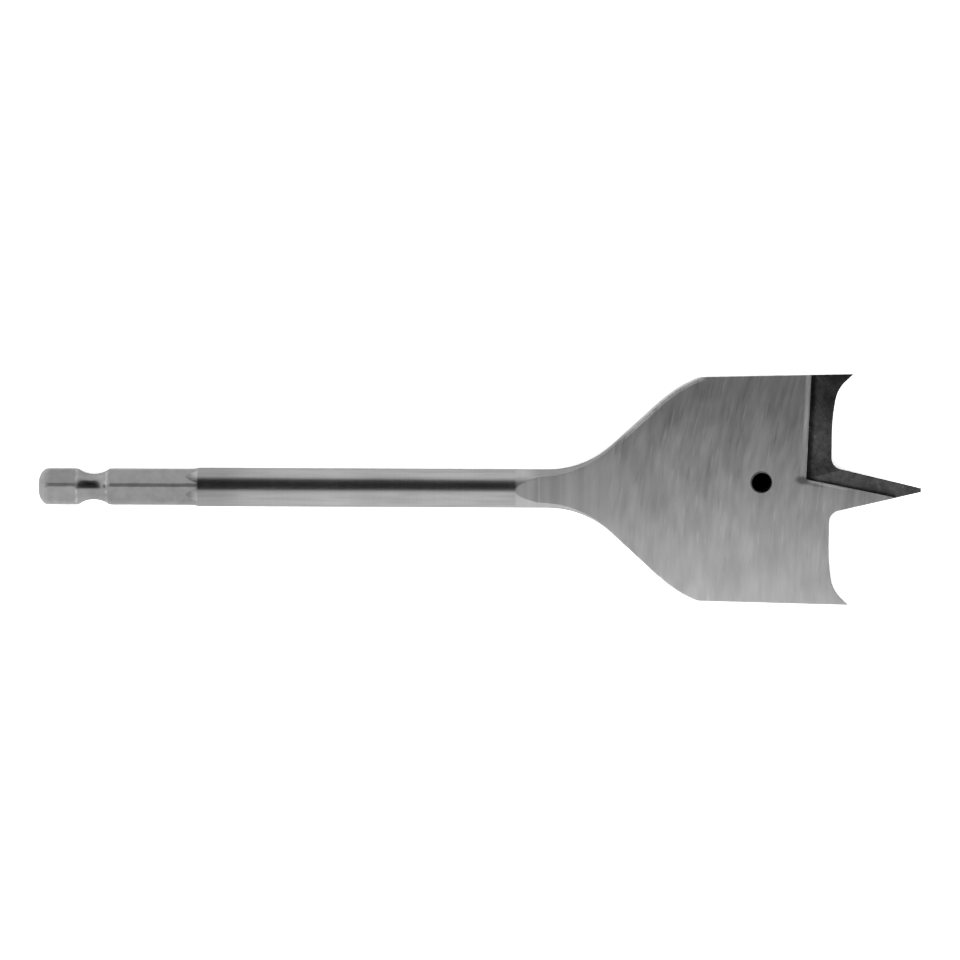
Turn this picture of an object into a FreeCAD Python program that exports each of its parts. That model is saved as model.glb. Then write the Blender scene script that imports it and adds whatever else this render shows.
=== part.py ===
import FreeCAD
import Part
import math
import os

from FreeCAD import Vector

# A spade drill bit: one piece of steel, forged flat from a round bar and then ground.
# The bit lies along X. The centre of its shank's end face is the origin and its centre point
# looks along +X. The blade lies in the XY plane and its upper face looks along +Z.
# Half a turn about X gives the same bit again, so the wing on the +Y side cuts with its upper
# face and the wing on the -Y side cuts with its lower face.

# Driving dimensions, in millimetres and degrees
OVERALL_LENGTH = 159.0

# Hexagonal shank for a quarter inch chuck, with the groove that a quick-change chuck grips
HEX_ACROSS_FLATS = 6.35
HEX_LENGTH = 26.5
HEX_RUN_OUT_ENTRY_ANGLE = 2.0
HEX_RUN_OUT_ANGLE = 14.0
HEX_CLOCKING = 11.5
END_ROUNDING = 2.3
GROOVE_CENTRE = 9.85
GROOVE_FLOOR_DIAMETER = 4.62
GROOVE_RADIUS = 4.6

# Round shaft, and how it thins into the blade
SHAFT_DIAMETER = 7.0
THINNING_LEAD = 5.9
THINNING_LENGTH = 23.0
RAMP_LENGTH = 4.1
RAMP_ANGLE = 12.1
THINNING_BLEND = 60.0

# Blade, with its shoulders sloping out from the neck to a corner on each side
BLADE_THICKNESS = 3.0
BLADE_WIDTH = 42.2
SIDE_LENGTH = 26.4
SIDE_TAPER = 1.35
SIDE_RELIEF = 5.5
NECK_RADIUS = 17.0
SHOULDER_ANGLE = 42.5
SHOULDER_RADIUS = 22.0
SHOULDER_END_ANGLE = 18.0
GRINDING_ALLOWANCE = 0.2
HANG_HOLE_DIAMETER = 3.6
HANG_HOLE_FROM_LIP = 12.55
HANG_HOLE_OFFSET = 1.4

# Centre point
POINT_LENGTH = 16.2
POINT_ROOT_WIDTH = 8.6
POINT_TIP_WIDTH = 1.05
POINT_ROOT_FILLET = 2.1
POINT_CLEARANCE = 6.0

# Cutting lips, each rising in a hollow curve to the spur that scores the hole's rim
LIP_CLEARANCE = 6.0
LIP_RISE_LENGTH = 8.0
LIP_RISE_ANGLE = 9.0
LIP_RISE_RADIUS = 36.0
SPUR_HEIGHT = 3.7
SPUR_ANGLE = 46.5
SPUR_RADIUS = 6.0

# Gashes ground into the leading face behind each lip and along each edge of the centre point
GASH_DEPTH = 0.8
GASH_LENGTH = 4.6
GASH_SKEW = 1.9
GASH_RUN_OUT = 0.3
GASH_INNER_OFFSET = 2.0
POINT_GASH_ANGLE = 11.4
POINT_GASH_WIDTH = 3.7
POINT_GASH_DESCENT = 0.5

# How far a cutter runs past the steel that it removes
OVERSHOOT = 1.0

# Places and angles that follow from the driving dimensions
shaft_radius = SHAFT_DIAMETER / 2
half_thickness = BLADE_THICKNESS / 2
half_width = BLADE_WIDTH / 2
lip_x = OVERALL_LENGTH - POINT_LENGTH
spur_x = lip_x + SPUR_HEIGHT
hex_apothem = HEX_ACROSS_FLATS / 2
run_out_mean_angle = (HEX_RUN_OUT_ENTRY_ANGLE + HEX_RUN_OUT_ANGLE) / 2
hex_end = HEX_LENGTH + (shaft_radius - hex_apothem) / math.tan(math.radians(run_out_mean_angle))

ORIGIN = Vector(0, 0, 0)
X_AXIS = Vector(1, 0, 0)
Z_AXIS = Vector(0, 0, 1)


def tangent(angle):
    return math.tan(math.radians(angle))


def heading(angle):
    """Unit vector in the XY plane, turned by an angle from +X towards +Y."""
    return Vector(math.cos(math.radians(angle)), math.sin(math.radians(angle)), 0)


def meet(first, first_angle, second, second_angle):
    """Point where two lines in the XY plane meet, each given by a point and its heading."""
    along = heading(first_angle)
    across = heading(second_angle).cross(Z_AXIS)
    return first + along * ((second - first).dot(across) / along.dot(across))


def face_of(corners):
    """Face in the XY plane with an arc at each corner, given as (point, radius)."""
    edges = []
    bends = []
    for index, (corner, radius) in enumerate(corners):
        to_last = (corners[index - 1][0] - corner).normalize()
        to_next = (corners[(index + 1) % len(corners)][0] - corner).normalize()
        half_angle = to_last.getAngle(to_next) / 2
        reach = radius / math.tan(half_angle)
        bends.append((corner + to_last * reach, corner + to_next * reach))
        if radius:
            middle = (to_last + to_next).normalize() * (radius / math.sin(half_angle) - radius)
            edges.append(Part.Arc(bends[-1][0], corner + middle, bends[-1][1]).toShape())
    for (_, leave), (enter, _) in zip(bends, bends[1:] + bends[:1]):
        if leave.distanceToPoint(enter) > 1e-6:
            edges.append(Part.makeLine(leave, enter))
    return Part.Face(Part.Wire(Part.__sortEdges__(edges)))


def on_edge(face):
    """The same face stood up from the XY plane into the XZ plane."""
    stood = face.copy()
    stood.rotate(ORIGIN, X_AXIS, 90)
    return stood


def half_turned(shape):
    """The same shape for the other wing, half a turn round the bit's axis."""
    other = shape.copy()
    other.rotate(ORIGIN, X_AXIS, 180)
    return other


def ground_down(face, lean):
    """Cutter with its outline on the blade's upper face, moved by lean for each mm of depth."""
    slope = lean - Z_AXIS
    cutter = face.copy()
    cutter.translate(Z_AXIS * half_thickness - slope * OVERSHOOT)
    return cutter.extrude(slope * (BLADE_THICKNESS + 2 * OVERSHOOT))


def hex_shank():
    """Round bar with six milled flats, a rounded end and the turned groove."""
    bar = face_of([
        (ORIGIN, 0),
        (Vector(0, shaft_radius, 0), END_ROUNDING),
        (Vector(hex_end, shaft_radius, 0), 0),
        (Vector(hex_end, 0, 0), 0),
    ]).revolve(ORIGIN, X_AXIS, 360)
    corner_radius = hex_apothem / math.cos(math.pi / 6)
    corners = [heading(90 - HEX_CLOCKING + 60 * side) * corner_radius for side in range(6)]
    outline = [Vector(0, corner.x, corner.y) for corner in corners]
    prism = Part.Face(Part.makePolygon(outline + outline[:1])).extrude(X_AXIS * hex_end)
    groove_centre = X_AXIS * GROOVE_CENTRE
    groove_sweep = GROOVE_FLOOR_DIAMETER / 2 + GROOVE_RADIUS
    groove = Part.makeTorus(groove_sweep, GROOVE_RADIUS, groove_centre, X_AXIS)
    return bar.common(prism).cut(groove)


def run_out():
    """Hollow rise from the middle of each flat to the round shaft, as outline points."""
    foot = Vector(HEX_LENGTH, hex_apothem, 0)
    top = Vector(hex_end, shaft_radius, 0)
    corner = meet(foot, HEX_RUN_OUT_ENTRY_ANGLE, top, HEX_RUN_OUT_ANGLE)
    radius = corner.distanceToPoint(top) / tangent((HEX_RUN_OUT_ANGLE - HEX_RUN_OUT_ENTRY_ANGLE) / 2)
    start = foot - heading(HEX_RUN_OUT_ENTRY_ANGLE) * OVERSHOOT
    return [(Vector(start.x, 0, 0), 0), (start, 0), (corner, radius), (top, 0)]


def blank_outline():
    """Neck, shoulder and side of the forged outline on the +Y side, each point with its radius."""
    blank_half_width = half_width + GRINDING_ALLOWANCE
    corner = Vector(spur_x - SIDE_LENGTH, blank_half_width - SIDE_LENGTH * tangent(SIDE_TAPER), 0)
    reach = SHOULDER_RADIUS * tangent((SHOULDER_ANGLE - SHOULDER_END_ANGLE) / 2)
    shoulder = corner - heading(SHOULDER_END_ANGLE) * reach
    neck = meet(shoulder, SHOULDER_ANGLE, Vector(0, shaft_radius, 0), 0)
    front = meet(corner, SIDE_TAPER, Vector(OVERALL_LENGTH, 0, 0), 90)
    return [(neck, NECK_RADIUS), (shoulder, SHOULDER_RADIUS), (corner, 0), (front, 0)]


def forged_blade():
    """Round shaft whose front end is pressed flat and spreads into the blade's blank.

    The outline is turned about the axis and the thinning faces are cut across it, so the neck
    keeps the bar's round edges where it starts to flatten.
    """
    outline = blank_outline()
    neck_x = outline[0][0].x - NECK_RADIUS * tangent(SHOULDER_ANGLE / 2)
    turned = face_of([
        *run_out(),
        *outline,
        (Vector(OVERALL_LENGTH, 0, 0), 0),
    ]).revolve(ORIGIN, X_AXIS, 360)

    ramp_x = neck_x - THINNING_LEAD
    above = shaft_radius + OVERSHOOT
    ramp_foot = shaft_radius - RAMP_LENGTH * tangent(RAMP_ANGLE)
    upper = [
        (Vector(0, above, 0), 0),
        (Vector(ramp_x - OVERSHOOT / tangent(RAMP_ANGLE), above, 0), 0),
        (Vector(ramp_x + RAMP_LENGTH, ramp_foot, 0), 0),
        (Vector(ramp_x + THINNING_LENGTH, half_thickness, 0), THINNING_BLEND),
        (Vector(OVERALL_LENGTH, half_thickness, 0), 0),
    ]
    lower = [(Vector(point.x, -point.y, 0), radius) for point, radius in reversed(upper)]
    reach_y = half_width + BLADE_THICKNESS
    pressed = on_edge(face_of(upper + lower))
    pressed.translate(Vector(0, reach_y, 0))
    return turned.common(pressed.extrude(Vector(0, -2 * reach_y, 0)))


def side_relief():
    """Cutter for one side edge, which leaves its full width only at the leading face."""
    back_x = spur_x - SIDE_LENGTH - SHOULDER_RADIUS / 2
    front_x = OVERALL_LENGTH + OVERSHOOT
    edge = [Vector(x, half_width + (x - spur_x) * tangent(SIDE_TAPER), 0) for x in (back_x, front_x)]
    outside = [point + Vector(0, BLADE_THICKNESS, 0) for point in reversed(edge)]
    lean = heading(SIDE_TAPER - 90) * tangent(SIDE_RELIEF)
    return ground_down(face_of([(point, 0) for point in edge + outside]), lean)


def lip_cutter():
    """Cutter in front of one wing: the point's edge, its root, the lip and the spur's hollow."""
    point_angle = math.degrees(math.atan((POINT_ROOT_WIDTH - POINT_TIP_WIDTH) / 2 / POINT_LENGTH))
    root = Vector(lip_x, POINT_ROOT_WIDTH / 2, 0)
    past_tip = meet(root, -point_angle, Vector(OVERALL_LENGTH + OVERSHOOT, 0, 0), 90)
    rise = Vector(lip_x, half_width - LIP_RISE_LENGTH, 0)
    spur = Vector(spur_x, half_width, 0)
    hollow = meet(rise, 90 - LIP_RISE_ANGLE, spur, 90 - SPUR_ANGLE)
    past_spur = spur + heading(90 - SPUR_ANGLE) * 2 * BLADE_THICKNESS
    front = face_of([
        (past_tip, 0),
        (root, POINT_ROOT_FILLET),
        (rise, LIP_RISE_RADIUS),
        (hollow, SPUR_RADIUS),
        (past_spur, 0),
        (Vector(past_tip.x + POINT_LENGTH, past_spur.y, 0), 0),
        (Vector(past_tip.x + POINT_LENGTH, past_tip.y, 0), 0),
    ])
    back = tangent(LIP_CLEARANCE)
    inward = (tangent(POINT_CLEARANCE) - back * heading(point_angle).y) / heading(point_angle).x
    return ground_down(front, Vector(-back, -inward, 0))


def lip_gash():
    """Wedge ground out behind one lip, deepest at its wall and rising past the spur's tip."""
    wall_x = lip_x - GASH_LENGTH
    end_x = spur_x + GASH_RUN_OUT
    wedge = on_edge(face_of([
        (Vector(wall_x, half_thickness - GASH_DEPTH, 0), 0),
        (Vector(end_x, half_thickness, 0), 0),
        (Vector(end_x, half_thickness + OVERSHOOT, 0), 0),
        (Vector(wall_x, half_thickness + OVERSHOOT, 0), 0),
    ]))
    wedge.translate(Vector(0, GASH_INNER_OFFSET, 0))
    return wedge.extrude(heading(90 - GASH_SKEW) * BLADE_WIDTH)


def point_gash():
    """Wedge ground along one edge of the centre point, deepest at its wall."""
    wedge = Part.Face(Part.makePolygon([
        Vector(0, 0, half_thickness - GASH_DEPTH),
        Vector(0, POINT_GASH_WIDTH, half_thickness),
        Vector(0, POINT_GASH_WIDTH, half_thickness + OVERSHOOT),
        Vector(0, 0, half_thickness + OVERSHOOT),
        Vector(0, 0, half_thickness - GASH_DEPTH),
    ]))
    reach = POINT_LENGTH + GASH_LENGTH + OVERSHOOT
    gash = wedge.extrude(Vector(reach, 0, -reach * tangent(POINT_GASH_DESCENT)))
    gash.rotate(ORIGIN, Z_AXIS, -POINT_GASH_ANGLE)
    gash.translate(Vector(lip_x - GASH_LENGTH, GASH_INNER_OFFSET, 0))
    return gash


def hang_hole():
    centre = Vector(lip_x - HANG_HOLE_FROM_LIP, HANG_HOLE_OFFSET, -BLADE_THICKNESS)
    return Part.makeCylinder(HANG_HOLE_DIAMETER / 2, 2 * BLADE_THICKNESS, centre, Z_AXIS)


def spade_bit():
    """The whole bit: the shank and the forged blade as one solid, ground to its cutting form."""
    wing_cutters = [side_relief(), lip_cutter(), lip_gash(), point_gash()]
    bit = hex_shank().fuse(forged_blade())
    for cutter in wing_cutters:
        bit = bit.cut(cutter).cut(half_turned(cutter))
    return bit.cut(hang_hole()).removeSplitter()


os.makedirs("parts", exist_ok=True)
spade_bit().exportStep("parts/spade_bit.step")
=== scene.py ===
import math

import bmesh
import bpy
from mathutils import Matrix, Vector

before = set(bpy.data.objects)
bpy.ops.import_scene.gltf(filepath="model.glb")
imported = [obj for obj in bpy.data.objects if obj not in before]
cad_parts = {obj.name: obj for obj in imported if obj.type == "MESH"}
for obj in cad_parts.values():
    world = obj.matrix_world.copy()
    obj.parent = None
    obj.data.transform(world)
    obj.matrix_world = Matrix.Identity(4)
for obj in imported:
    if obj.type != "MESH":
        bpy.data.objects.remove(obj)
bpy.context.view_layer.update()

scene = bpy.context.scene

# Camera: a long lens looking almost straight down at the blade's upper face, a little from
# the upper wing's side, with the bit lying across the picture.
FRAME_WIDTH = 0.17332
LENS = 110.0
SENSOR = 36.0
CAMERA_LEAN = math.radians(6.5)
CAMERA_ROLL = math.radians(0.25)
SEEN_CENTRE = (0.07953, 0.00149)
NEAREST_SEEN = 0.1
FARTHEST_SEEN = 20.0

towards_camera = Vector((0, math.sin(CAMERA_LEAN), math.cos(CAMERA_LEAN)))
straight_up = Vector((0, math.cos(CAMERA_LEAN), -math.sin(CAMERA_LEAN)))
image_right = Vector((math.cos(CAMERA_ROLL), 0, 0)) + math.sin(CAMERA_ROLL) * straight_up
image_up = towards_camera.cross(image_right)
aim = Vector((SEEN_CENTRE[0], 0, 0)) + SEEN_CENTRE[1] * image_up
stand = aim + towards_camera * (FRAME_WIDTH * LENS / SENSOR)
facing = Matrix((image_right, image_up, towards_camera)).transposed().to_4x4()
camera = bpy.data.objects.new("camera", bpy.data.cameras.new("camera"))
camera.data.lens = LENS
camera.data.sensor_width = SENSOR
camera.data.clip_start = NEAREST_SEEN
camera.data.clip_end = FARTHEST_SEEN
camera.matrix_world = Matrix.Translation(stand) @ facing
scene.collection.objects.link(camera)
scene.camera = camera

# Steel: the bit is one forged piece with no plating, and its finish changes from the shank
# to the tip. These are the steps that its material is built from. A noise pattern goes from
# its low mark to its high one over one of three ranges.
SOFT_RANGE = (0.2, 0.8)
PLAIN_RANGE = (0.25, 0.75)
SHARP_RANGE = (0.3, 0.7)


def add(tree, kind, feeds=None, **settings):
    """One node with its settings, and its inputs given values or joined to other nodes."""
    made = tree.nodes.new(kind)
    for name, value in settings.items():
        setattr(made, name, value)
    for key, value in (feeds or {}).items():
        if isinstance(value, bpy.types.NodeSocket):
            tree.links.new(value, made.inputs[key])
        else:
            made.inputs[key].default_value = value
    return made


def maths(tree, operation, *values):
    """The result of one Math node."""
    return add(tree, "ShaderNodeMath", dict(enumerate(values)), operation=operation).outputs[0]


def vectors(tree, operation, *values):
    """The result of one Vector Math node, which is a vector or a number."""
    made = add(tree, "ShaderNodeVectorMath", dict(enumerate(values)), operation=operation)
    gives_number = operation in {"LENGTH", "DISTANCE", "DOT_PRODUCT"}
    return made.outputs["Value" if gives_number else "Vector"]


def product(tree, first, *others):
    """Values multiplied together."""
    for other in others:
        first = maths(tree, "MULTIPLY", first, other)
    return first


def total(tree, first, *others):
    """Values added together."""
    for other in others:
        first = maths(tree, "ADD", first, other)
    return first


def less(tree, first, second):
    """One value with another taken away."""
    return maths(tree, "SUBTRACT", first, second)


def place_of(tree, **parts):
    """A place from its X, Y and Z, with nought for a part that isn't given."""
    return add(tree, "ShaderNodeCombineXYZ", parts).outputs[0]


def noise(tree, place, scale, detail, roughness):
    """A cloudy pattern between nought and one, mostly near a half."""
    feeds = {"Vector": place, "Scale": scale, "Detail": detail, "Roughness": roughness}
    return add(tree, "ShaderNodeTexNoise", feeds).outputs[0]


def ramp(tree, value, low, high, out_low=0.0, out_high=1.0):
    """A soft step of a value from one level to another."""
    feeds = {"Value": value, "From Min": low, "From Max": high, "To Min": out_low, "To Max": out_high}
    return add(tree, "ShaderNodeMapRange", feeds, interpolation_type="SMOOTHSTEP").outputs["Result"]


def fade(tree, value, low, high):
    """A soft step down from one to nought."""
    return ramp(tree, value, low, high, 1.0, 0.0)


def between(tree, value, start, full, wane, end):
    """One where a value lies in a span, with soft ends."""
    return product(tree, ramp(tree, value, start, full), fade(tree, value, wane, end))


def blend(tree, share, first, second):
    """A value between two others."""
    return add(tree, "ShaderNodeMix", {0: share, 2: first, 3: second}, data_type="FLOAT").outputs[0]


def shade(tree, mask, level):
    """A factor that is one outside a mask and the given level inside it."""
    return blend(tree, mask, 1.0, level)


def group(name, inputs, output):
    """An empty node group with its sockets, its given values and the socket of its result."""
    tree = bpy.data.node_groups.new(name, "ShaderNodeTree")
    for label, kind in inputs.items():
        tree.interface.new_socket(label, in_out="INPUT", socket_type=kind)
    tree.interface.new_socket(output, in_out="OUTPUT", socket_type="NodeSocketFloat")
    given = tree.nodes.new("NodeGroupInput").outputs
    return tree, given, tree.nodes.new("NodeGroupOutput").inputs[output]


def use(tree, source, **feeds):
    """The mark that a node group puts out, for its own values here."""
    made = tree.nodes.new("ShaderNodeGroup")
    made.node_tree = source
    for name, value in feeds.items():
        if isinstance(value, bpy.types.NodeSocket):
            tree.links.new(value, made.inputs[name.capitalize()])
        else:
            made.inputs[name.capitalize()].default_value = value
    return made.outputs["Mark"]


# Tool marks: short scratches side by side, as a wheel or a lathe tool leaves them. They run
# across the bit, lean over by a share of their length and bow a little towards the tip.
SCRATCH_GRAIN = (1.0, 2.0, 0.5)
tool_marks, given, result = group(
    "tool_marks",
    {
        "Place": "NodeSocketVector", "Spacing": "NodeSocketFloat", "Length": "NodeSocketFloat",
        "Lean": "NodeSocketFloat", "Bow": "NodeSocketFloat", "Seed": "NodeSocketFloat",
    },
    "Mark",
)
spot = add(tool_marks, "ShaderNodeSeparateXYZ", {0: given["Place"]}).outputs
lean = product(tool_marks, spot["Y"], given["Lean"])
bow = product(tool_marks, spot["Y"], spot["Y"], given["Bow"])
across = less(tool_marks, spot["X"], total(tool_marks, lean, bow))
depth = maths(tool_marks, "DIVIDE", spot["Z"], given["Length"])
stretched = place_of(
    tool_marks,
    X=maths(tool_marks, "DIVIDE", across, given["Spacing"]),
    Y=maths(tool_marks, "DIVIDE", spot["Y"], given["Length"]),
    Z=total(tool_marks, depth, given["Seed"]),
)
tool_marks.links.new(noise(tool_marks, stretched, *SCRATCH_GRAIN), result)

# Spots: soft ovals, each round one place, used for stains, nicks and smears and also for painted
# shade. Its reach is the half width of the oval each way, and its turn is round the upright.
SPOT_CORE = 0.3
stain_and_shade_spot, given, result = group(
    "stain_and_shade_spot",
    {
        "Place": "NodeSocketVector", "Centre": "NodeSocketVector",
        "Reach": "NodeSocketVector", "Turn": "NodeSocketFloat",
    },
    "Mark",
)
offset = vectors(stain_and_shade_spot, "SUBTRACT", given["Place"], given["Centre"])
turned = add(
    stain_and_shade_spot, "ShaderNodeVectorRotate", {"Vector": offset, "Angle": given["Turn"]},
    rotation_type="Z_AXIS",
).outputs[0]
distance = vectors(stain_and_shade_spot, "LENGTH", vectors(stain_and_shade_spot, "DIVIDE", turned, given["Reach"]))
stain_and_shade_spot.links.new(fade(stain_and_shade_spot, distance, SPOT_CORE, 1.0), result)

# Places on the bit, in millimetres from the centre of its end face. Across a face they count
# up towards the wing that cuts with it, because the bit looks the same turned half round its
# axis, so the face below reads the same pattern as the one above.
METRE = 1000.0
steel = bpy.data.materials.new("ground_steel_finish")
steel.use_nodes = True
tree = steel.node_tree
tree.nodes.clear()

coordinates = add(tree, "ShaderNodeTexCoord").outputs
place = vectors(tree, "MULTIPLY", coordinates["Object"], (METRE, METRE, METRE))
along, sideways, upwards = add(tree, "ShaderNodeSeparateXYZ", {0: place}).outputs
above_middle = maths(tree, "ABSOLUTE", upwards)
face = maths(tree, "SIGN", upwards)
wing = product(tree, sideways, face)
on_face = place_of(tree, X=along, Y=wing, Z=face)
normal = add(tree, "ShaderNodeSeparateXYZ", {0: coordinates["Normal"]}).outputs
face_up = maths(tree, "ABSOLUTE", normal["Z"])

# Hexagonal shank: six flats cut on the bar, with a dull, mottled skin. The flats on one side of the
# corner line are painted lighter than those on the other, a painted shade, and its rounded corners
# and its rounded end are painted lighter, a painted highlight.
HEX_TONES = (0.2772, 0.3528)
HEX_ROUGHNESS = (0.32, 0.41)
MOTTLE = (0.55, 4.0, 0.6)
CORNER_RADIUS = (3.42, 3.47)
# Painted highlight on the rounded corners.
CORNER_PAINTED_HIGHLIGHT = 1.25
CORNER_ROUGHNESS = 0.6
CORNER_LINE = (0.6, 0.9)
# Painted shade: the flats either side of the corner line, past the groove and at the end.
FLAT_PAINTED_SHADES = (0.94, 1.09)
END_FLAT_PAINTED_SHADES = (1.05, 0.97)
# Painted highlight: the rounded end is made lighter.
END_ROUNDING = (1.5, 2.3)
END_PAINTED_HIGHLIGHT = 1.15

mottle = noise(tree, place, *MOTTLE)
from_axis = vectors(tree, "LENGTH", place_of(tree, Y=sideways, Z=upwards))
on_corner = ramp(tree, from_axis, *CORNER_RADIUS)
# Painted shade: one side of the corner line is made lighter than the other.
flat_painted_shades = ramp(tree, wing, *CORNER_LINE, *FLAT_PAINTED_SHADES)
end_flat_painted_shades = ramp(tree, wing, *CORNER_LINE, *END_FLAT_PAINTED_SHADES)
skin_tone = ramp(tree, mottle, *PLAIN_RANGE, *HEX_TONES)
skin_roughness = ramp(tree, mottle, *SOFT_RANGE, *HEX_ROUGHNESS)
# Painted highlight on the rounded end.
end_painted_highlight = ramp(tree, along, *END_ROUNDING, END_PAINTED_HIGHLIGHT, 1.0)

# Groove for a quick-change chuck: turned across the flats, so it is smoother than they are.
# Each edge of it is painted bright, a painted highlight, and the tool left a dark nick on the corner
# by the shaft.
GROOVE_SPAN = (6.9, 7.5, 12.2, 12.8)
GROOVE_ROUGHNESS = 0.29
GROOVE_LIPS = (7.0, 12.33)
LIP_WIDTH = (0.12, 0.3)
# Painted highlight along each edge of the groove.
LIP_PAINTED_HIGHLIGHT = (0.35, 0.6, 1.05, 1.4)
NICK_CENTRE = (12.05, 0.4, 2.85)
NICK_REACH = (0.35, 0.45, 2.0)
NICK_SHADE = 0.4

in_groove = between(tree, along, *GROOVE_SPAN)
from_lips = [maths(tree, "ABSOLUTE", less(tree, along, lip)) for lip in GROOVE_LIPS]
# Painted highlight: the two edges of the groove.
lip_painted_highlight = fade(tree, maths(tree, "MINIMUM", *from_lips), *LIP_WIDTH)
nick = use(tree, stain_and_shade_spot, place=place, centre=NICK_CENTRE, reach=NICK_REACH)

# Run-outs: where each flat ends, the cutter rose out of the bar in a short hollow, which is painted
# darker at its foot and lighter where it steepens towards the round shaft, a painted shade and
# highlight that follow its slope.
RUN_OUT_START = (26.3, 26.6)
RUN_OUT_FOOT = (0.02, 0.04)
RUN_OUT_STEEP = (0.12, 0.19)
# Painted shade and highlight by the slope of the hollow.
RUN_OUT_PAINTED_LIGHT = (0.76, 1.3)

climb = product(tree, normal["X"], -1.0)
run_out_painted_light = product(tree, ramp(tree, along, *RUN_OUT_START), ramp(tree, climb, *RUN_OUT_FOOT))
hex_tone = product(
    tree, skin_tone,
    blend(tree, ramp(tree, along, *GROOVE_LIPS), end_flat_painted_shades, flat_painted_shades),
    shade(tree, run_out_painted_light, ramp(tree, climb, *RUN_OUT_STEEP, *RUN_OUT_PAINTED_LIGHT)),
    shade(tree, nick, NICK_SHADE),
    end_painted_highlight,
    shade(tree, on_corner, CORNER_PAINTED_HIGHLIGHT),
    shade(tree, lip_painted_highlight, ramp(tree, mottle, *LIP_PAINTED_HIGHLIGHT)),
)
hex_roughness = blend(
    tree, in_groove, blend(tree, on_corner, skin_roughness, CORNER_ROUGHNESS), GROOVE_ROUGHNESS,
)

# Shaft: turned bar, polished with long strokes over the fine rings that the lathe left round it. Its
# first centimetre, next to the hexagon, is darker.
SHAFT_STARTS = (28.5, 28.9)
SHAFT_TONE = 0.41
SHAFT_ROUGHNESS = (0.3, 0.36)
RING_SHADES = (0.97, 1.03)
WAVER = (0.16, 3.0, 0.6)
WAVER_SHADES = (0.96, 1.04)
STROKE_STRETCH = (0.07, 1.1, 1.1)
STROKES = (1.0, 3.0, 0.55)
STROKE_SHADES = (0.9, 1.09)
DARKER_START_ENDS = (32.0, 40.0)
DARKER_START_SHADE = 0.78

rings = use(tree, tool_marks, place=place, spacing=0.35, length=40.0, lean=0.0, bow=0.0, seed=3.0)
waver = noise(tree, place, *WAVER)
strokes = noise(tree, vectors(tree, "MULTIPLY", place, STROKE_STRETCH), *STROKES)
shaft_tone = product(
    tree, SHAFT_TONE,
    ramp(tree, strokes, *SHARP_RANGE, *STROKE_SHADES),
    ramp(tree, rings, *PLAIN_RANGE, *RING_SHADES),
    ramp(tree, waver, *SHARP_RANGE, *WAVER_SHADES),
    ramp(tree, along, *DARKER_START_ENDS, DARKER_START_SHADE, 1.0),
)
shaft_roughness = ramp(tree, rings, *PLAIN_RANGE, *SHAFT_ROUGHNESS)

# Neck: pressed flat out of the round bar, with straight bands from the press. Where its steep ramp
# meets the long taper, a painted shadow line with a painted highlight beside it marks the crest. The
# bar's own round edge above it is painted darker where it slopes away, a painted shade.
NECK_BANDS_END = (97.0, 108.0)
BAND_DEPTHS = (-0.08, 0.08)
CREST_SHADOW = (88.9, 89.5, 89.8, 90.0)
CREST_SHADOW_DEPTH = -0.13
# Painted highlight beside the crest's painted shadow.
CREST_HIGHLIGHT = (89.9, 90.1, 90.2, 90.5)
CREST_HIGHLIGHT_DEPTH = 0.14
LEVEL_FACE = (0.95, 0.972)
NECK_EDGE_STARTS = (87.0, 90.5)
NECK_EDGE_SLOPE = (0.62, 0.78)
NECK_EDGE_SIDE = (1.0, 1.5)
# Painted shade on the round edge above the neck.
NECK_EDGE_PAINTED_SHADE = 0.69

bands = use(tree, tool_marks, place=on_face, spacing=2.3, length=90.0, lean=0.0, bow=0.0, seed=45.0)
banding = ramp(tree, bands, *SHARP_RANGE, *BAND_DEPTHS)
on_neck = fade(tree, along, *NECK_BANDS_END)
on_flat = ramp(tree, face_up, *LEVEL_FACE)
crest_shadow = product(tree, between(tree, along, *CREST_SHADOW), CREST_SHADOW_DEPTH)
crest_highlight = product(tree, between(tree, along, *CREST_HIGHLIGHT), CREST_HIGHLIGHT_DEPTH)
painted_crest_light = product(tree, on_flat, total(tree, crest_shadow, crest_highlight))
# Painted shade where the bar's round edge slopes away.
neck_edge_painted_shade = product(
    tree, ramp(tree, along, *NECK_EDGE_STARTS),
    fade(tree, face_up, *NECK_EDGE_SLOPE), ramp(tree, wing, *NECK_EDGE_SIDE),
)

# Blade: both faces are ground across on a wheel, which leaves short hairlines over broader
# marks, and cloudy patches where it dwelt. The marks stand out most on the leading wing.
BLADE_STARTS = (85.6, 86.2)
BLADE_TONE = 0.505
BLADE_ROUGHNESS = 0.5
ROUGHNESS_WITH_MARKS = -0.15
GRIND_LEAN = 0.1
GRIND_BOW = 1 / 320
GRIND_DEPTHS = (-0.08, 0.08)
BRIGHT_HAIRS = (0.61, 0.73, 0.0, 0.17)
DARK_HAIRS = (0.27, 0.39, -0.11, 0.0)
CLOUD_DEPTHS = (-0.08, 0.08)
BROAD_DEPTHS = (-0.06, 0.06)
MARKS_ON_NECK = 0.35
MARKS_OFF_FLAT = 0.35
MARKS_BY_WING = (-20.0, 20.0, 0.55, 1.7)
# The middle of the blade is darker.
DARKER_MIDDLE_CENTRE = (117.5, 0.4, 1.0)
DARKER_MIDDLE_REACH = (20.0, 12.0, 1.0)
DARKER_MIDDLE_SHADE = 0.93
# Painted light: the blade is made lighter towards its trailing wing's edge.
TRAILING_EDGE = (-21.0, -15.0)
TRAILING_PAINTED_LIGHT = 1.08

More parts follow.
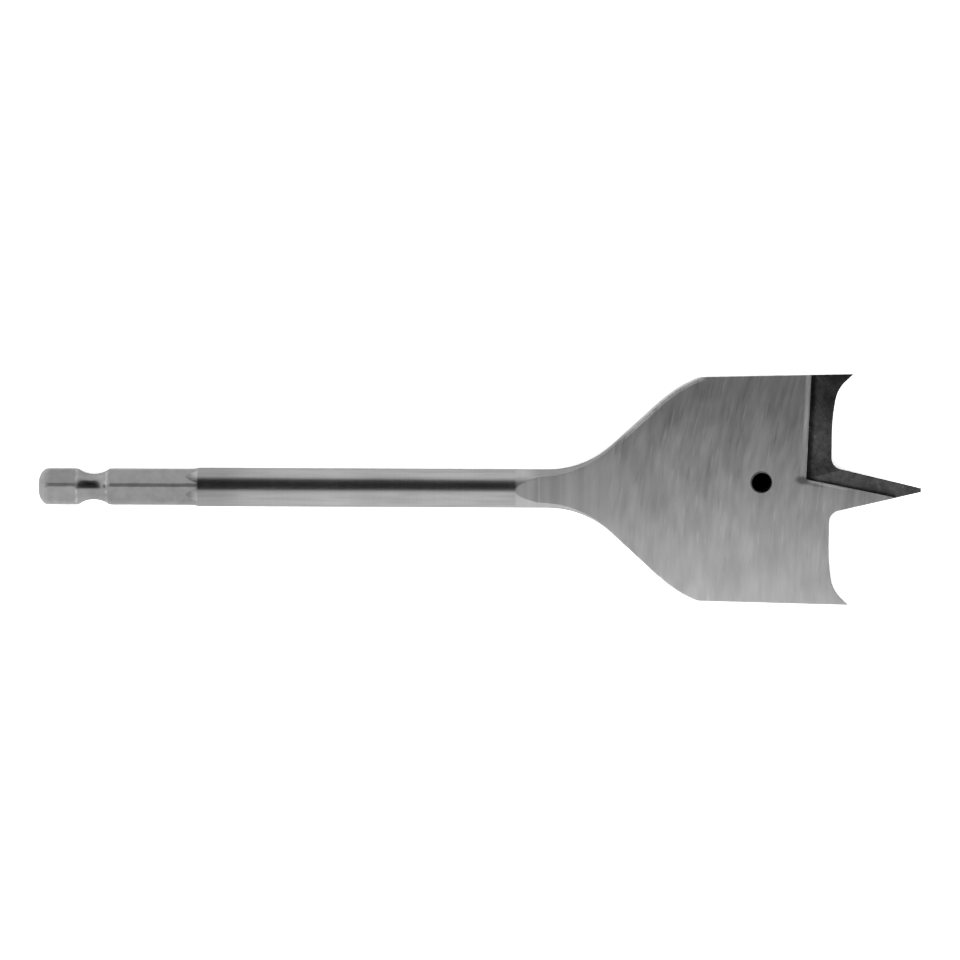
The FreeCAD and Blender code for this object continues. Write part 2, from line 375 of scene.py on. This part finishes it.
wheel = {"place": on_face, "lean": GRIND_LEAN, "bow": GRIND_BOW}
grind = use(tree, tool_marks, spacing=1.05, length=5.0, seed=11.0, **wheel)
hairline = use(tree, tool_marks, spacing=0.4, length=5.5, seed=31.0, **wheel)
broad = use(tree, tool_marks, spacing=3.2, length=14.0, seed=5.0, **wheel)
cloud = use(tree, tool_marks, spacing=4.5, length=10.0, seed=61.0, **wheel)
streaks = blend(tree, on_neck, ramp(tree, grind, *PLAIN_RANGE, *GRIND_DEPTHS), banding)
hairs = total(tree, ramp(tree, hairline, *BRIGHT_HAIRS), ramp(tree, hairline, *DARK_HAIRS))
patches = total(
    tree, ramp(tree, cloud, *SHARP_RANGE, *CLOUD_DEPTHS),
    ramp(tree, broad, *SOFT_RANGE, *BROAD_DEPTHS),
)
fine_marks = product(tree, total(tree, hairs, patches), shade(tree, on_neck, MARKS_ON_NECK))
grinding = product(
    tree, total(tree, streaks, fine_marks), ramp(tree, wing, *MARKS_BY_WING),
    shade(tree, less(tree, 1.0, on_flat), MARKS_OFF_FLAT),
)
blade_marks = total(tree, grinding, painted_crest_light)
blade_roughness = total(tree, BLADE_ROUGHNESS, product(tree, blade_marks, ROUGHNESS_WITH_MARKS))
darker_middle = use(tree, stain_and_shade_spot, place=on_face, centre=DARKER_MIDDLE_CENTRE, reach=DARKER_MIDDLE_REACH, turn=0.0)

# Shoulders: the blank's own sloping edges, which stayed unground. A gritty strip along the leading
# one is painted bright up to its round end, a painted highlight along its edge, and the corner there
# has a stain.
SHOULDER_ANGLE = math.radians(42.5)
SHOULDER_OFFSET = 63.91
SHOULDER_ARC_STARTS = 112.04
SHOULDER_ARC_CENTRE = (126.9, -0.25, 0.0)
SHOULDER_ARC_RADIUS = 22.0
STRIP_WIDTH = (0.5, 0.75)
STRIP_STARTS = (103.0, 108.0)
STRIP_ENDS = (119.3, 120.1)
# Painted highlight along the leading shoulder.
STRIP_PAINTED_HIGHLIGHT = 1.95
GRIT = (2.6, 2.0, 0.6)
GRIT_COVER = (0.35, 0.6, 0.6, 1.0)
SHOULDER_STAIN_CENTRE = (120.6, 17.8, 1.0)
SHOULDER_STAIN_REACH = (3.4, 2.4, 1.0)
SHOULDER_STAIN_SHADE = 0.87

wing_share = product(tree, wing, math.cos(SHOULDER_ANGLE))
length_share = product(tree, along, math.sin(SHOULDER_ANGLE))
from_line = less(tree, length_share, total(tree, wing_share, SHOULDER_OFFSET))
from_arc_centre = vectors(tree, "DISTANCE", place_of(tree, X=along, Y=wing), SHOULDER_ARC_CENTRE)
from_arc = less(tree, SHOULDER_ARC_RADIUS, from_arc_centre)
on_arc = maths(tree, "GREATER_THAN", along, SHOULDER_ARC_STARTS)
from_shoulder = blend(tree, on_arc, from_line, from_arc)
# Painted highlight: a gritty strip along the leading shoulder.
shoulder_painted_highlight = product(
    tree, fade(tree, from_shoulder, *STRIP_WIDTH), ramp(tree, along, *STRIP_STARTS),
    fade(tree, along, *STRIP_ENDS), ramp(tree, noise(tree, on_face, *GRIT), *GRIT_COVER),
)
shoulder_stain = use(
    tree, stain_and_shade_spot, place=on_face, centre=SHOULDER_STAIN_CENTRE, reach=SHOULDER_STAIN_REACH, turn=0.0,
)

# Hanging hole: drilled through the blade, a little off its axis. Its rim is made dark, because
# in the photograph the hole looks up to a pixel larger than the one drilled here.
RIM_CENTRE = (130.15, 1.48, 0.0)
RIM_RADIUS = (1.9, 2.05)
RIM_SHADE = 0.3

from_hole = vectors(tree, "DISTANCE", place_of(tree, X=along, Y=sideways), RIM_CENTRE)
hole_rim = fade(tree, from_hole, *RIM_RADIUS)
ground_tone = product(
    tree, BLADE_TONE, total(tree, blade_marks, 1.0),
    shade(tree, neck_edge_painted_shade, NECK_EDGE_PAINTED_SHADE),
    shade(tree, hole_rim, RIM_SHADE),
    shade(tree, shoulder_stain, SHOULDER_STAIN_SHADE),
    shade(tree, darker_middle, DARKER_MIDDLE_SHADE),
    shade(tree, shoulder_painted_highlight, STRIP_PAINTED_HIGHLIGHT),
    # Painted light towards the trailing wing's edge.
    ramp(tree, wing, *TRAILING_EDGE, TRAILING_PAINTED_LIGHT, 1.0),
)

# Gashes: ground out with a coarse wheel, so they are blotched and flecked. They are painted dark,
# partly the coarse grind's own colour and partly painted shade, and darkest in the corner and under
# the wall, which is painted shade. One runs behind each lip and one along the centre point.
# Dark tone of the gashes: partly their own colour, partly painted shade.
GASH_TONE_WITH_PAINTED_SHADE = 0.115
GASH_ROUGHNESS = 0.48
WALL_X = 138.2
WALL_SKEW = 0.033
POINT_WALL_SLOPE = math.tan(math.radians(11.4))
POINT_WALL_LEVEL = 2.0 + WALL_X * POINT_WALL_SLOPE
COARSE_SHADES = (0.86, 1.14)
BLOTCH = (0.45, 4.0, 0.65)
BLOTCH_SHADES = (0.6, 1.4)
FLECK = (2.2, 1.0, 0.5)
FLECK_SHINE = (0.68, 0.76, 0.0, 0.9)
POINT_GASH_STARTS = (140.5, 144.0)
POINT_GASH_SHADE = 0.77
WORN_SPAN = (4.5, 8.0, 12.0, 16.0)
WORN_SHINE = 1.38
CORNER_CENTRE = (139.6, 3.1, 1.0)
CORNER_REACH = (2.6, 1.6, 1.0)
CORNER_TURN = 0.2
# Painted shade in the gash's inner corner.
GASH_CORNER_PAINTED_SHADE = 0.62
DEEP_LEVEL = (0.75, 0.83)
DEEP_WIDTH = (0.9, 1.8)
# Painted shade under the wall.
DEEP_PAINTED_SHADE = 0.28
GASH_STARTS = (138.0, 138.15)
BELOW_FACE = (1.47, 1.485)
GASH_SLOPE = (0.8, 0.9)

coarse = use(
    tree, tool_marks, place=on_face, spacing=0.5, length=1.8, lean=-0.7, bow=0.0, seed=21.0,
)
from_wall = less(tree, along, total(tree, product(tree, wing, WALL_SKEW), WALL_X))
# Painted shade under the wall.
under_wall_painted_shade = product(
    tree, fade(tree, above_middle, *DEEP_LEVEL), fade(tree, from_wall, *DEEP_WIDTH),
)
# Painted shade in the gash's inner corner.
gash_corner_painted_shade = use(
    tree, stain_and_shade_spot, place=on_face, centre=CORNER_CENTRE, reach=CORNER_REACH, turn=CORNER_TURN,
)
flecks = ramp(tree, noise(tree, on_face, *FLECK), *FLECK_SHINE)
gash_tone_with_painted_shade = product(
    tree, GASH_TONE_WITH_PAINTED_SHADE,
    ramp(tree, coarse, *SOFT_RANGE, *COARSE_SHADES),
    ramp(tree, noise(tree, on_face, *BLOTCH), *PLAIN_RANGE, *BLOTCH_SHADES),
    ramp(tree, along, *POINT_GASH_STARTS, 1.0, POINT_GASH_SHADE),
    shade(tree, between(tree, wing, *WORN_SPAN), WORN_SHINE),
    shade(tree, gash_corner_painted_shade, GASH_CORNER_PAINTED_SHADE),
    total(tree, shade(tree, under_wall_painted_shade, DEEP_PAINTED_SHADE), flecks),
)
in_gash = product(
    tree, ramp(tree, along, *GASH_STARTS), fade(tree, above_middle, *BELOW_FACE),
    ramp(tree, face_up, *GASH_SLOPE),
)

# Round the gashes: the top edge of each wall is painted bright, a painted highlight where the edge
# catches the light, and the wheel left a dark smear with a tail where it ran out past the inner
# corner.
# Painted highlights along the top edge of each wall.
WALL_EDGE_SPAN = (-1.2, -0.7, -0.45, -0.1)
WALL_EDGE_STARTS = (6.0, 13.0)
WALL_EDGE_HIGHLIGHT = 1.75
POINT_EDGE_SPAN = (-0.55, -0.35, -0.25, -0.05)
POINT_EDGE_ALONG = (138.8, 140.0, 144.0, 147.5)
POINT_EDGE_HIGHLIGHT = 1.25
SMEAR_CENTRE = (137.6, 1.85, 1.0)
SMEAR_REACH = (1.85, 1.1, 1.0)
SMEAR_TURN = 0.15
SMEAR_SHADE = 0.4
TAIL_CENTRE = (139.8, 1.05, 1.0)
TAIL_REACH = (2.5, 0.45, 1.0)
TAIL_TURN = 0.2
TAIL_SHADE = 0.68

point_line = total(tree, wing, product(tree, along, POINT_WALL_SLOPE))
from_point_wall = less(tree, point_line, POINT_WALL_LEVEL)
# Painted highlight along the top of the lip's wall.
wall_edge_highlight = product(
    tree, between(tree, from_wall, *WALL_EDGE_SPAN), ramp(tree, wing, *WALL_EDGE_STARTS),
)
# Painted highlight along the top of the point's wall.
point_edge_highlight = product(
    tree, between(tree, from_point_wall, *POINT_EDGE_SPAN), between(tree, along, *POINT_EDGE_ALONG),
)
smear = use(tree, stain_and_shade_spot, place=on_face, centre=SMEAR_CENTRE, reach=SMEAR_REACH, turn=SMEAR_TURN)
tail = use(tree, stain_and_shade_spot, place=on_face, centre=TAIL_CENTRE, reach=TAIL_REACH, turn=TAIL_TURN)
blade_tone = product(
    tree, ground_tone,
    shade(tree, wall_edge_highlight, WALL_EDGE_HIGHLIGHT),
    shade(tree, point_edge_highlight, POINT_EDGE_HIGHLIGHT),
    shade(tree, smear, SMEAR_SHADE),
    shade(tree, tail, TAIL_SHADE),
)

# The whole bit: the finishes follow each other from the shank to the tip. Handling has broken every
# sharp edge by two tenths of a millimetre, and the edges are painted lighter, partly wear and partly
# a painted highlight.
EDGE_RADIUS = 0.0002
EDGE_SAMPLES = 8
EDGE_TURN = (0.95, 0.998)
EDGE_WEAR_AND_HIGHLIGHT = 1.35
RELIEF = 0.35
RELIEF_DEPTH = 0.00002


def along_bit(on_hex, on_shaft, on_blade, in_gashes):
    """The value for the zone of the bit that each place lies in."""
    to_shaft = blend(tree, ramp(tree, along, *SHAFT_STARTS), on_hex, on_shaft)
    to_blade = blend(tree, ramp(tree, along, *BLADE_STARTS), to_shaft, on_blade)
    return blend(tree, in_gash, to_blade, in_gashes)


broken = add(tree, "ShaderNodeBevel", {"Radius": EDGE_RADIUS}, samples=EDGE_SAMPLES).outputs[0]
sharp = add(tree, "ShaderNodeNewGeometry").outputs["Normal"]
# Edges painted lighter: partly wear, partly a painted highlight.
edge_wear_and_highlight = fade(tree, vectors(tree, "DOT_PRODUCT", broken, sharp), *EDGE_TURN)
worn_and_highlighted = product(tree, edge_wear_and_highlight, less(tree, 1.0, maths(tree, "MAXIMUM", in_gash, hole_rim)))
tone = product(
    tree, along_bit(hex_tone, shaft_tone, blade_tone, gash_tone_with_painted_shade), shade(tree, worn_and_highlighted, EDGE_WEAR_AND_HIGHLIGHT),
)
relief = {
    "Height": along_bit(mottle, rings, grind, coarse),
    "Strength": RELIEF, "Distance": RELIEF_DEPTH, "Normal": broken,
}
finish = {
    "Base Color": tone,
    "Roughness": along_bit(hex_roughness, shaft_roughness, blade_roughness, GASH_ROUGHNESS),
    "Metallic": 1.0,
    "Normal": add(tree, "ShaderNodeBump", relief).outputs[0],
}
metal = add(tree, "ShaderNodeBsdfPrincipled", finish).outputs[0]
add(tree, "ShaderNodeOutputMaterial", {"Surface": metal})
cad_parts["spade_bit"].material_slots[0].material = steel

# Table top: a plain white sheet that the bit lies on, seen from above only. The camera sees it
# brighter than it lights the bit, so that the background is white. The patch below the hanging hole
# is painted black, a painted shadow, because the hole looks black in the photograph.
TABLE_HALF = 4.0
TABLE_MIDDLE = 0.08
TABLE_LEVEL = -0.0035
TABLE_WHITE = 0.85
TABLE_REFLECTED = 0.88
TABLE_SEEN = 2.0
SHADOW_PATCH_CENTRE = (0.13025, 0.0014, TABLE_LEVEL)
SHADOW_PATCH_RADIUS = (0.0032, 0.00368)

mesh = bpy.data.meshes.new("floor")
shape = bmesh.new()
bmesh.ops.create_grid(
    shape, x_segments=1, y_segments=1, size=TABLE_HALF,
    matrix=Matrix.Translation((TABLE_MIDDLE, 0, TABLE_LEVEL)),
)
shape.to_mesh(mesh)
shape.free()
floor = bpy.data.objects.new("floor", mesh)
scene.collection.objects.link(floor)

table_top = bpy.data.materials.new("white_table_top")
table_top.use_nodes = True
tree = table_top.node_tree
tree.nodes.clear()
spot = add(tree, "ShaderNodeTexCoord").outputs["Object"]
# Painted shadow: a black patch below the hanging hole.
outside_shadow_patch = ramp(tree, vectors(tree, "DISTANCE", spot, SHADOW_PATCH_CENTRE), *SHADOW_PATCH_RADIUS)
path = add(tree, "ShaderNodeLightPath").outputs
mirrored = maths(tree, "MAXIMUM", path["Is Glossy Ray"], path["Is Transmission Ray"])
unseen_white = blend(tree, mirrored, TABLE_WHITE, TABLE_REFLECTED)
white = blend(tree, path["Is Camera Ray"], unseen_white, TABLE_SEEN)
above = add(tree, "ShaderNodeBsdfDiffuse", {"Color": product(tree, white, outside_shadow_patch)}).outputs[0]
below = add(tree, "ShaderNodeBsdfTransparent").outputs[0]
from_below = add(tree, "ShaderNodeNewGeometry").outputs["Backfacing"]
sheet = add(tree, "ShaderNodeMixShader", {0: from_below, 1: above, 2: below}).outputs[0]
add(tree, "ShaderNodeOutputMaterial", {"Surface": sheet})
mesh.materials.append(table_top)

# Room: even white light from all round, as in a light tent. At its level of one a colour
# comes out about as it is written.
ROOM_COLOUR = (1, 1, 1, 1)
ROOM_LEVEL = 1.0
world = bpy.data.worlds.new("white_room")
world.use_nodes = True
world.node_tree.nodes["Background"].inputs["Color"].default_value = ROOM_COLOUR
world.node_tree.nodes["Background"].inputs["Strength"].default_value = ROOM_LEVEL
world.cycles.sampling_method = "NONE"
scene.world = world

# Dark card: hung over the bit, where only reflections see it. It gives the shaft its dark
# band, and its slanted edges give the blade its change from dark to light across.
CARD_HEIGHT = 0.057
CARD_OUTLINE = [
    (-0.04, -0.011), (0.093, -0.011), (0.115, -0.001), (0.126, -0.002), (0.36, -0.085),
    (0.36, 0.05), (0.12, 0.05), (0.1, 0.113), (-0.04, 0.113),
]
CARD_COLOUR = (1, 1, 1, 1)
CARD_LEVEL = 0.01
mesh = bpy.data.meshes.new("dark_card")
shape = bmesh.new()
shape.faces.new([shape.verts.new((x, y, CARD_HEIGHT)) for x, y in CARD_OUTLINE])
shape.to_mesh(mesh)
shape.free()
card = bpy.data.objects.new("dark_card", mesh)
card.visible_camera = False
card.visible_diffuse = False
card.visible_shadow = False
card.visible_transmission = False
scene.collection.objects.link(card)

black = bpy.data.materials.new("black_card")
black.use_nodes = True
tree = black.node_tree
tree.nodes.clear()
glow = {"Color": CARD_COLOUR, "Strength": CARD_LEVEL}
dark = add(tree, "ShaderNodeEmission", glow).outputs[0]
add(tree, "ShaderNodeOutputMaterial", {"Surface": dark})
mesh.materials.append(black)

# Soft lamp: a wide one from the lower wing's side. It lights the table top and gives the bit
# a faint shadow, and reflections don't see it.
LAMP_SIZE = 0.5
LAMP_POWER = 1.2
LAMP_PLACE = Vector((0.05, -0.45, 0.5))
LAMP_AIM = Vector((0.08, 0, 0))
lamp = bpy.data.objects.new("soft_lamp", bpy.data.lights.new("soft_lamp", "AREA"))
lamp.data.shape = "SQUARE"
lamp.data.size = LAMP_SIZE
lamp.data.energy = LAMP_POWER
lamp.visible_glossy = False
turned = (LAMP_PLACE - LAMP_AIM).to_track_quat("Z", "Y").to_matrix().to_4x4()
lamp.matrix_world = Matrix.Translation(LAMP_PLACE) @ turned
scene.collection.objects.link(lamp)

scene.view_settings.view_transform = "Standard"
